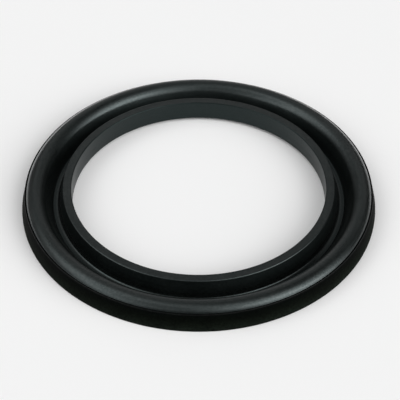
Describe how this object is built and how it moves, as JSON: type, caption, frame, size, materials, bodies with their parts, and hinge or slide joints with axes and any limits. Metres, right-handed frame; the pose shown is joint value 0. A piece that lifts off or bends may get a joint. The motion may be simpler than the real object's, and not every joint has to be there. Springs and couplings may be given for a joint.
{
  "type": "oil seal",
  "caption": "Round moulded rubber oil seal: a plain inner lip and a fat rounded outer bead, joined by a thin web under a deep ring-shaped groove.",
  "frame": {"origin": "centre of the flat base face, on the ring's axis", "axes": "+Z along the ring's axis, from the flat base towards the open groove, the lip's top and the bead; X and Y are alike"},
  "size_m": [0.1, 0.1, 0.0069],
  "materials": {
    "seal_rubber": "black moulded nitrile rubber, semi-matt with soft broad highlights"
  },
  "bodies": {
    "root": {"seal_ring": "seal_rubber"}
  },
  "joints": []
}
